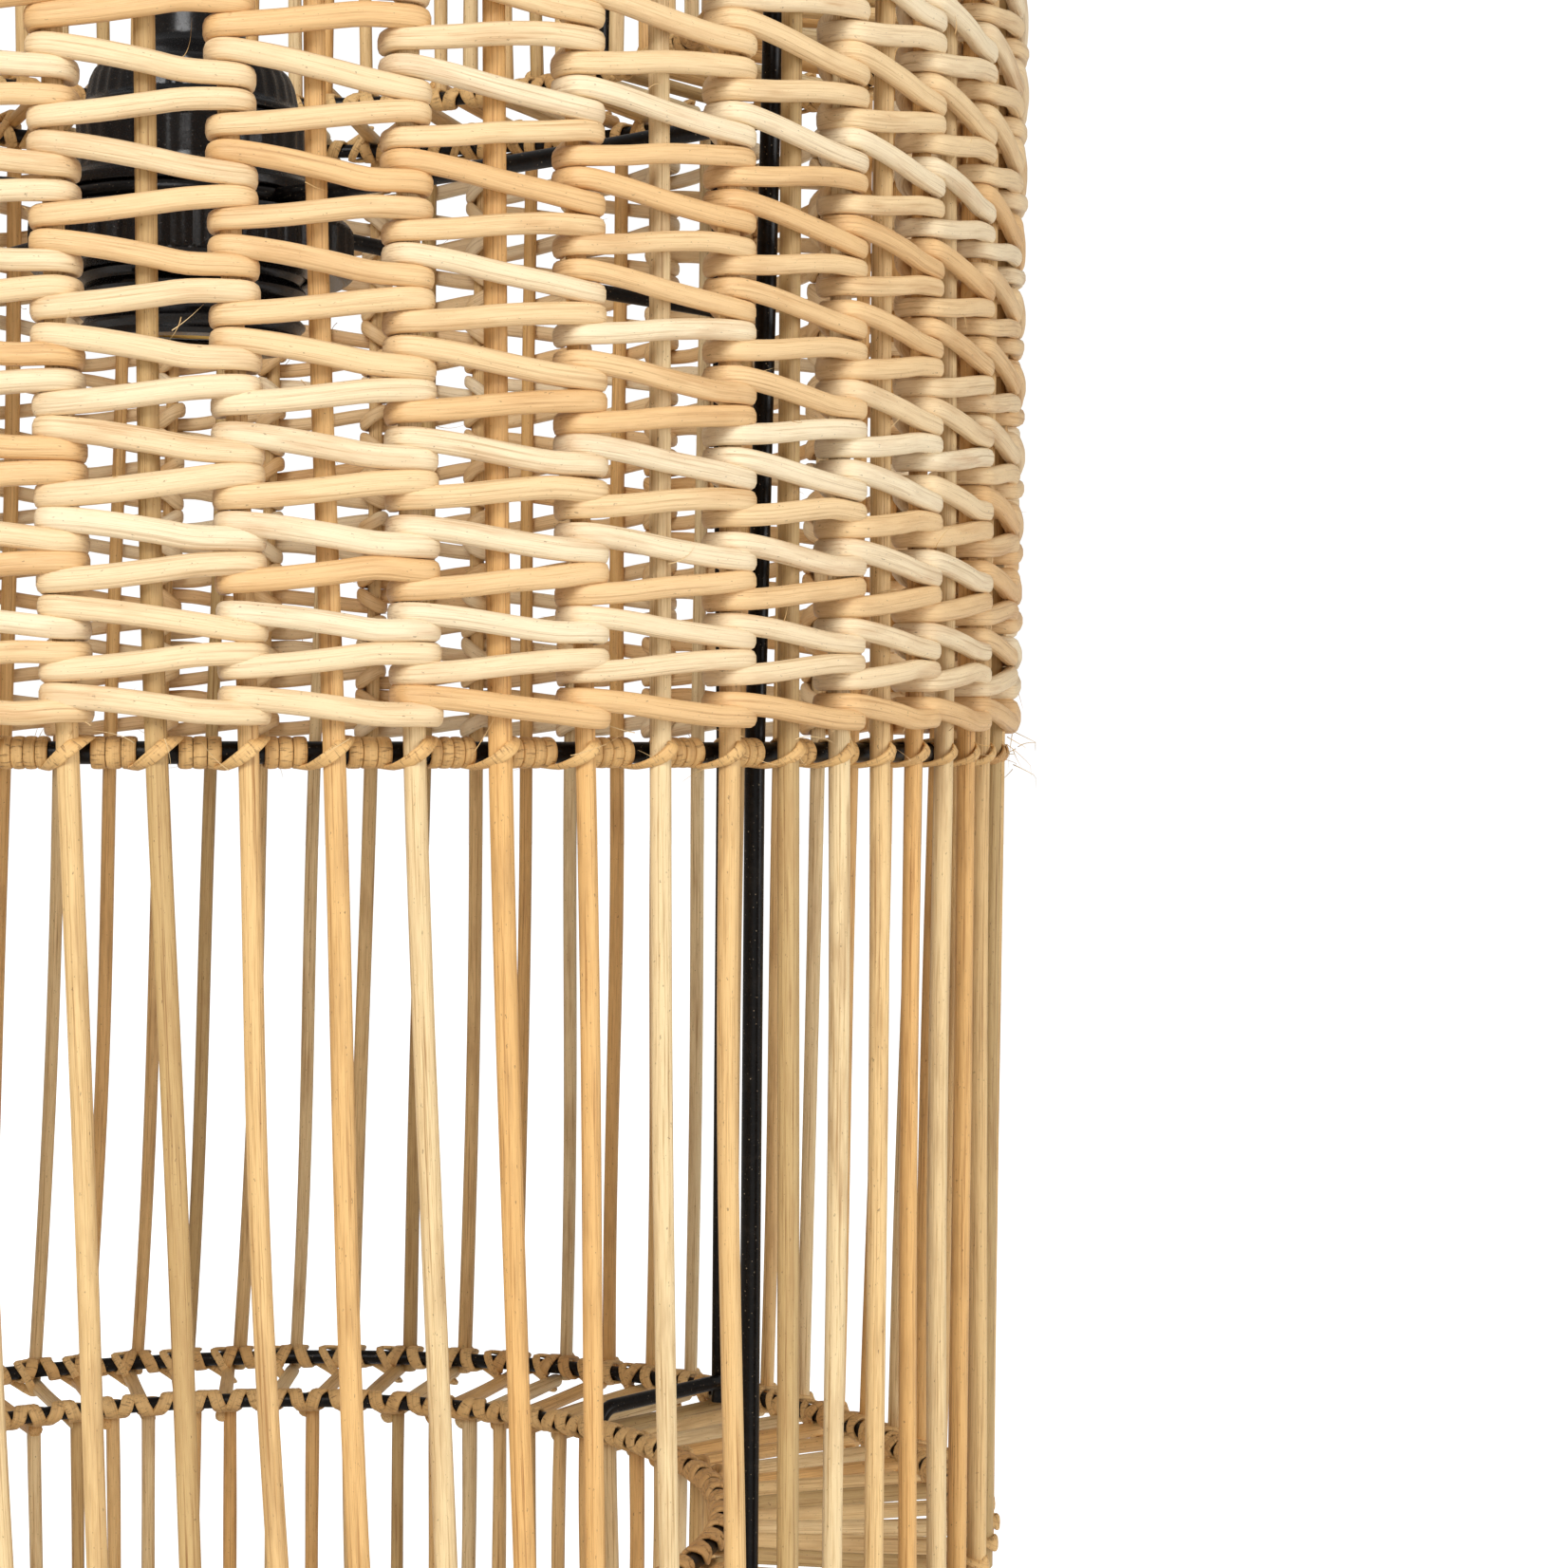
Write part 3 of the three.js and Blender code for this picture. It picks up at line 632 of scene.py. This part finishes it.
def slanted_binding(i, gap):
    """Between the sticks the strip coils round the wire; at each stick it climbs slantwise across its front."""
    enter, leave = -3.7, 2.2
    cross = [(enter + 0.7, -1.9, -1.95, 0.75, -0.65, 0.46), (-1.7, 0.9, -1.25, 0.95, -0.3, 0.6),
             (-0.2, 2.0, -0.1, 1, 0, 0.68), (1.1, 1.45, 1.05, 0.95, 0.3, 0.7),
             (leave - 0.15, -1.4, 1.95, 0.5, 0.85, 0.8)]
    first, last = leave + 0.3, gap + enter + 0.8             # the outer edges of the coiled turns
    turns = max(2, round((last - first) / TURN_W))
    turn = (last - first) / turns
    fronts = [first + (k + 0.5) * turn for k in range(turns)]
    return cross + list(coil([leave] + fronts + [gap + enter], 0.97 * turn / 2 / SLANTED_W))


def peaked_binding(near, wide):
    """The strip hugs the outside of each stick and comes down both ways across the inside of the wire."""
    def points(i, gap):
        k = 1 + 0.12 * math.sin(i * 2.4)
        side = [(1.35, 1.45, 1.1, 0.9, 0.2), (2.0, -0.7, 1.7, 0.35, 0.7),
                (near, -RING_INSET + 0.2, 2.0, 0, 1),
                ((near + wide) / 2 * k, -RING_INSET - 1.95, 0.2, -1, 0.1),
                (wide * k, -RING_INSET - 1.0, -1.85, -0.5, -0.85),
                (min(wide + 0.9, gap / 2 - 0.3), -RING_INSET + 1.2, -1.6, 0.5, -0.8)]
        left = [(-s, h, up, face_out, face_up) for s, h, up, face_out, face_up in side[::-1]]
        return left + [(0, 1.95, 0.9, 1, 0)] + side + [(gap / 2, -RING_INSET + 1.9, -0.4, 1, 0)]
    return points


def under_binding(i, gap):
    """A second strip ties the shoulder stick's end up against the wire, slanting the other way."""
    low = SHOULDER_LIFT + STAKE_R + 0.35
    return [(0.12 * gap, -RING_INSET + 0.6, -low, 0, -1), (0.34 * gap, -1.9, -3.4, 1, -0.3),
            (0.66 * gap, -1.85, -1.0, 1, 0), (0.98 * gap, -1.9, 0.8, 1, 0.3), (1.3 * gap, -2.5, 1.8, 0.6, 0.8),
            (1.46 * gap, -RING_INSET - 0.2, 2.0, 0, 1), (1.36 * gap, -RING_INSET - 1.95, 0.1, -1, 0.1),
            (1.24 * gap, -RING_INSET - 1.8, -2.4, -1, -0.1),
            (1.14 * gap, -RING_INSET - 1.3, -low + 0.8, -0.8, -0.6)]


def turned_over(points_for):
    """The same binding, upside down."""
    def points(i, gap):
        return [(s, h, -up, face_out, -face_up) for s, h, up, face_out, face_up in points_for(i, gap)]
    return points


def as_it_is(points_for):
    return points_for


def lashing(name, ring_r, z, *bindings):
    """Each binding is its points, half width and half thickness."""
    b = Bundle()
    for binding in bindings:
        lash(b, ring_r, z, *binding)
    b.piece(name, lash_cane, "shade", "rattan")


lashing("lashing_middle_ring", drum_r(MIDDLE_Z) - RING_INSET, MIDDLE_Z, (slanted_binding, SLANTED_W, 0.32))
for end, ring_z, outward in ENDS:
    flip = turned_over if outward > 0 else as_it_is
    lashing(f"lashing_{end}_ring", drum_r(ring_z) - RING_INSET, ring_z,
            (flip(peaked_binding(1.5, 3.2)), 1.32, 0.45), (flip(under_binding), 0.9, 0.42))
    lashing(f"lashing_{end}_shoulder_ring", NECK_RING_R, ring_z,
            (turned_over(flip(peaked_binding(0.9, 2.7))), 1.42, 0.5))
    lashing(f"lashing_{end}_neck_ring", NECK_RING_R, ring_z + outward * NECK_LENGTH,
            (flip(peaked_binding(0.9, 2.6)), 1.2, 0.45))

# ---------------------------------------------------------------- loose fibres

HAIRS, HAIR_R = 420, 0.07
NEAR_RING_SHARE = 0.35                                   # how many of them hang about the middle ring
WEAVE_HEIGHT, FARTHEST_OUT = 128, 7.0

hairs = Bundle()
for _ in range(HAIRS):
    near_ring = rng.uniform() < NEAR_RING_SHARE
    z = MIDDLE_Z + (rng.uniform(-3, 4) if near_ring else rng.uniform(4, WEAVE_HEIGHT))
    start = around(drum_r(z) + rng.uniform(2.2, 4.2), rng.uniform(0, 360), z)
    heading = unit(rng.normal(size=3) * (1, 1, 0.8))
    curl = unit(rng.normal(size=3)) * rng.uniform(0.02, 0.12)
    length = rng.uniform(2.5, 8)
    t = np.linspace(0, 1, 9)[:, None]
    path = start + heading * length * t + curl * (length * t)**2
    outside = np.linalg.norm(path[:, :2], axis=1, keepdims=True)
    path[:, :2] *= np.minimum(1, (drum_r(z) + FARTHEST_OUT) / outside)
    thin = HAIR_R * (1.15 - t[:, 0])
    hairs.sweep(path, thin, thin, rng.uniform(), unit(rng.normal(size=(1, 3))) + 0 * path, 4)
hairs.piece("loose_fibres", fibre_cane, "shade", "weft")

# ---------------------------------------------------------------- lampholder


def ribs(count, depth, low, high, r_min):
    """Upright flutes between two heights, cut into whatever stands outside r_min."""
    def shape(r, z, t):
        inside = (z > low) & (z < high) & (r > r_min)
        return r - inside * depth * (0.5 - 0.5 * np.cos(count * t))**0.7
    return shape


def dense(profile, step):
    """More points along the straight runs, so that ribs and threads have something to bend."""
    p = np.asarray(profile, float)
    out = []
    for a, b in zip(p, np.roll(p, -1, 0)):
        n = max(1, int(np.linalg.norm(b - a) / step))
        out += [a + (b - a) * t for t in np.linspace(0, 1, n, endpoint=False)]
    return np.array(out)


SKIRT_PITCH, SKIRT_DEPTH = 3.0, 1.05
BODY_RIBS, BODY_RIB_DEPTH = 30, 0.30
NIPPLE_PITCH, NIPPLE_DEPTH = 1.0, 0.25
SLEEVE_PITCH, SLEEVE_DEPTH = 3.6, 0.75


def skirt_thread(r, z, t):
    """The shade ring's thread below the flange, and the body's flutes above it."""
    on = (z > MOUTH_Z + 0.8) & (z < RING_TOP_Z + 0.2) & (r > SKIRT_R - 1.6) & (r < SKIRT_R)
    turn = np.abs(((z - MOUTH_Z) / SKIRT_PITCH - t / (2 * np.pi)) % 1 - 0.5) * 2
    rib = (z > SHOULDER_Z + 4.5) & (z < BODY_TOP_Z - 1.5) & (r > HOLDER_R - 0.5)
    thread = on * (SKIRT_DEPTH * np.clip(1.5 * turn - 0.25, 0, 1))
    return r + thread - rib * BODY_RIB_DEPTH * (0.5 - 0.5 * np.cos(BODY_RIBS * t))


def nipple_thread(r, z, t):
    turn = np.abs((z / NIPPLE_PITCH - t / (2 * np.pi)) % 1 - 0.5) * 2
    return r + (r > 4.5) * NIPPLE_DEPTH * (turn - 1)


def sleeve_thread(r, z, t):
    return r + SLEEVE_DEPTH * (0.5 - 0.5 * np.cos(2 * np.pi * ((z - SLEEVE_LOW) / SLEEVE_PITCH) - t))


body = dense(rounded([(14.0, MOUTH_Z), (18.7, MOUTH_Z), (18.7, SHOULDER_Z), (23.7, SHOULDER_Z),
                      (23.7, SHOULDER_Z + 2), (HOLDER_R + 0.6, SHOULDER_Z + 3.0), (HOLDER_R, SHOULDER_Z + 4),
                      (HOLDER_R, BODY_TOP_Z), (15.0, BODY_TOP_Z), (15.0, MOUTH_Z + 3),
                      (14.0, MOUTH_Z + 3)]), 0.5)
lathe(body, 180, skirt_thread).piece(
    "holder_body_shell", bakelite, "holder", "bakelite", "holder_body", crease=40)

foot = BODY_TOP_Z + GAP
cap = dense(rounded([(17, foot), (HOLDER_R, foot), (HOLDER_R, foot + 1.2), (18.7, foot + 2.2),
                     (18.0, foot + 6.2), (17.0, foot + 8.4), (14.2, CAP_TOP_Z - 8.4), (10.4, CAP_TOP_Z - 6.4),
                     (9.4, CAP_TOP_Z - 5), (9, CAP_TOP_Z), (5.3, CAP_TOP_Z), (5.3, CAP_TOP_Z - 9),
                     (12, CAP_TOP_Z - 11.5), (15.5, CAP_TOP_Z - 14)], 0.8), 0.7)
lathe(cap, 180, ribs(36, 0.35, foot + 2.4, foot + 7.8, 16.6)).piece(
    "holder_cap_shell", bakelite, "holder", "bakelite", "holder_cap", crease=40)

low = RING_TOP_Z - 10.2
clamp = dense(rounded([(20.1, low), (26.9, low), (28.3, low + 1.2), (28.3, RING_TOP_Z - 1.4),
                       (27.3, RING_TOP_Z), (20.1, RING_TOP_Z)], 0.6), 0.6)
lathe(clamp, 240, ribs(48, 0.75, low + 1.4, RING_TOP_Z - 1.6, 27.5)).piece(
    "shade_ring_ribbed", bakelite, "clamp", "bakelite", "shade_ring", crease=40)

nipple = dense([(3.9, CAP_TOP_Z - 12), (5, CAP_TOP_Z - 12), (5, CAP_TOP_Z + 5), (3.9, CAP_TOP_Z + 5)], 0.25)
lathe(nipple, 48, nipple_thread).piece("nipple_threaded", zinc, "holder", "steel", "cap_nipple", crease=40)

grip = dense(rounded([(5.3, CAP_TOP_Z + GAP), (7.6, CAP_TOP_Z + GAP), (7.6, -3.4), (7.0, -1.2), (6.2, 0),
                      (3.9, 0), (3.9, CAP_TOP_Z + 5.3), (5.3, CAP_TOP_Z + 5.3)], 0.5), 0.5)
lathe(grip, 96, ribs(24, 0.3, CAP_TOP_Z + 1.2, -3.6, 7.4)).piece(
    "cable_grip_ribbed", bakelite, "holder", "bakelite", "cable_grip", crease=40)

SCREW_POINTS, SCREW_HEAD = 24, 0.62                      # the head starts this far along the screw
t = np.linspace(0, 1, SCREW_POINTS)
screw_r = np.where(t < SCREW_HEAD, 1.55 + 0.25 * (np.arange(SCREW_POINTS) % 2), 1.85)
screw_r[-1] = 1.5
screw = Bundle()
screw.sweep(around(4.4 + 4.6 * t, 90, -4.6), screw_r, screw_r, PLAIN,
            np.tile([0, 0, 1.0], (SCREW_POINTS, 1)), 24)
screw.piece("grip_screw_threaded", bakelite, "holder", "bakelite", "grip_screw", crease=40)

SLEEVE_LOW, SLEEVE_TOP = MOUTH_Z + 3.3, MOUTH_Z + 3.3 + 14.4
sleeve = dense([(12.4, SLEEVE_LOW), (12.8, SLEEVE_LOW), (12.8, SLEEVE_TOP), (12.4, SLEEVE_TOP)], 0.3)
lathe(sleeve, 96, sleeve_thread).piece(
    "sleeve_threaded", brass, "holder", "brass", "thread_sleeve", crease=50)

contact = rounded([(0.01, CONTACT_Z), (2.6, CONTACT_Z), (4, CONTACT_Z + 0.9), (1.5, CONTACT_Z + 1.6),
                   (1.5, INSERT_TOP_Z + 0.5), (0.01, INSERT_TOP_Z + 0.5)], 0.3, closed=False)
lathe(contact, 40, closed=False).piece(
    "contact_turned", brass, "contact", "brass", "centre_contact", crease=40)

top = INSERT_TOP_Z
head = rounded([(0.02, top - 6), (1.4, top - 6), (1.4, top + 0.3), (2.6, top + 0.3), (2.6, top + 1.7),
                (2.2, top + 2), (0.4, top + 2), (0.4, top + 1.3), (0.02, top + 1.3)], 0.2, closed=False)
for side, x in ((1, 8), (2, -8)):
    lathe(head, 40, closed=False, offset=(x, 0)).piece(
        f"terminal_screw_head_{side}", zinc, "holder", "steel", f"terminal_screw_{side}", crease=40)

for node, material in (("lamp_insert", porcelain), ("side_contact", brass)):    # shown as the CAD has them
    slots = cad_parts[node].data.materials
    slots.clear()
    slots.append(material)

# ---------------------------------------------------------------- floor and light

FLOOR_R, FLOOR_Z, FLOOR_SIDES = 6, -0.352, 96            # metres
FLOOR_COLOUR = (0.86, 0.86, 0.85, 1)
GLOW_ON_LAMP, GLOW_SEEN = 0.1, 0.85                      # the floor's own light: it is seen as white paper
SKY_LIGHT, SKY_SEEN = 0.36, 1.05

floor_mesh = bpy.data.meshes.new("floor")
rim = [(FLOOR_R * math.cos(a), FLOOR_R * math.sin(a), FLOOR_Z)
       for a in np.linspace(0, 2 * math.pi, FLOOR_SIDES, endpoint=False)]
floor_mesh.from_pydata(rim, [], [list(range(FLOOR_SIDES))])
floor = bpy.data.objects.new("floor", floor_mesh)
scene.collection.objects.link(floor)
paper = Nodes("floor")
paper.shader.inputs["Base Color"].default_value = FLOOR_COLOUR
paper.shader.inputs["Roughness"].default_value = 0.85
paper.shader.inputs["Emission Color"].default_value = WHITE
seen_ray = paper.new("ShaderNodeLightPath").outputs["Is Camera Ray"]
paper.link(paper.span(seen_ray, 0, 1, GLOW_ON_LAMP, GLOW_SEEN), paper.shader.inputs["Emission Strength"])
one_sided = paper.new("ShaderNodeMixShader")             # clear from below, so that the lamp shows from there
paper.link(paper.new("ShaderNodeNewGeometry").outputs["Backfacing"], one_sided.inputs[0])
paper.link(paper.shader.outputs[0], one_sided.inputs[1])
paper.link(paper.new("ShaderNodeBsdfTransparent").outputs[0], one_sided.inputs[2])
paper.link(one_sided.outputs[0], paper.tree.nodes["Material Output"].inputs[0])
floor_mesh.materials.append(paper.material)

world = bpy.data.worlds.new("studio")
world.use_nodes = True
scene.world = world
tree = world.node_tree
lit, seen = tree.nodes["Background"], tree.nodes.new("ShaderNodeBackground")
for node, strength in ((lit, SKY_LIGHT), (seen, SKY_SEEN)):
    node.inputs[0].default_value = WHITE
    node.inputs[1].default_value = strength
path_info, blend = tree.nodes.new("ShaderNodeLightPath"), tree.nodes.new("ShaderNodeMixShader")
tree.links.new(path_info.outputs["Is Camera Ray"], blend.inputs[0])
tree.links.new(lit.outputs[0], blend.inputs[1])
tree.links.new(seen.outputs[0], blend.inputs[2])
tree.links.new(blend.outputs[0], tree.nodes["World Output"].inputs[0])

LAMP_MIDDLE = (0, 0, -0.15)


def softbox(name, place, size, watts):
    light = bpy.data.lights.new(name, "AREA")
    light.shape, light.size, light.energy = "DISK", size, watts
    obj = bpy.data.objects.new(name, light)
    scene.collection.objects.link(obj)
    obj.location = place
    obj.rotation_euler = (Vector(LAMP_MIDDLE) - Vector(place)).to_track_quat("-Z", "Y").to_euler()
    obj.visible_camera = False


softbox("key", (-0.7, -1.7, 1.0), size=1.1, watts=36)
softbox("fill", (1.5, -1.1, 0.1), size=1.0, watts=11)

scene.view_settings.view_transform = "Standard"
scene.view_settings.look = "None"
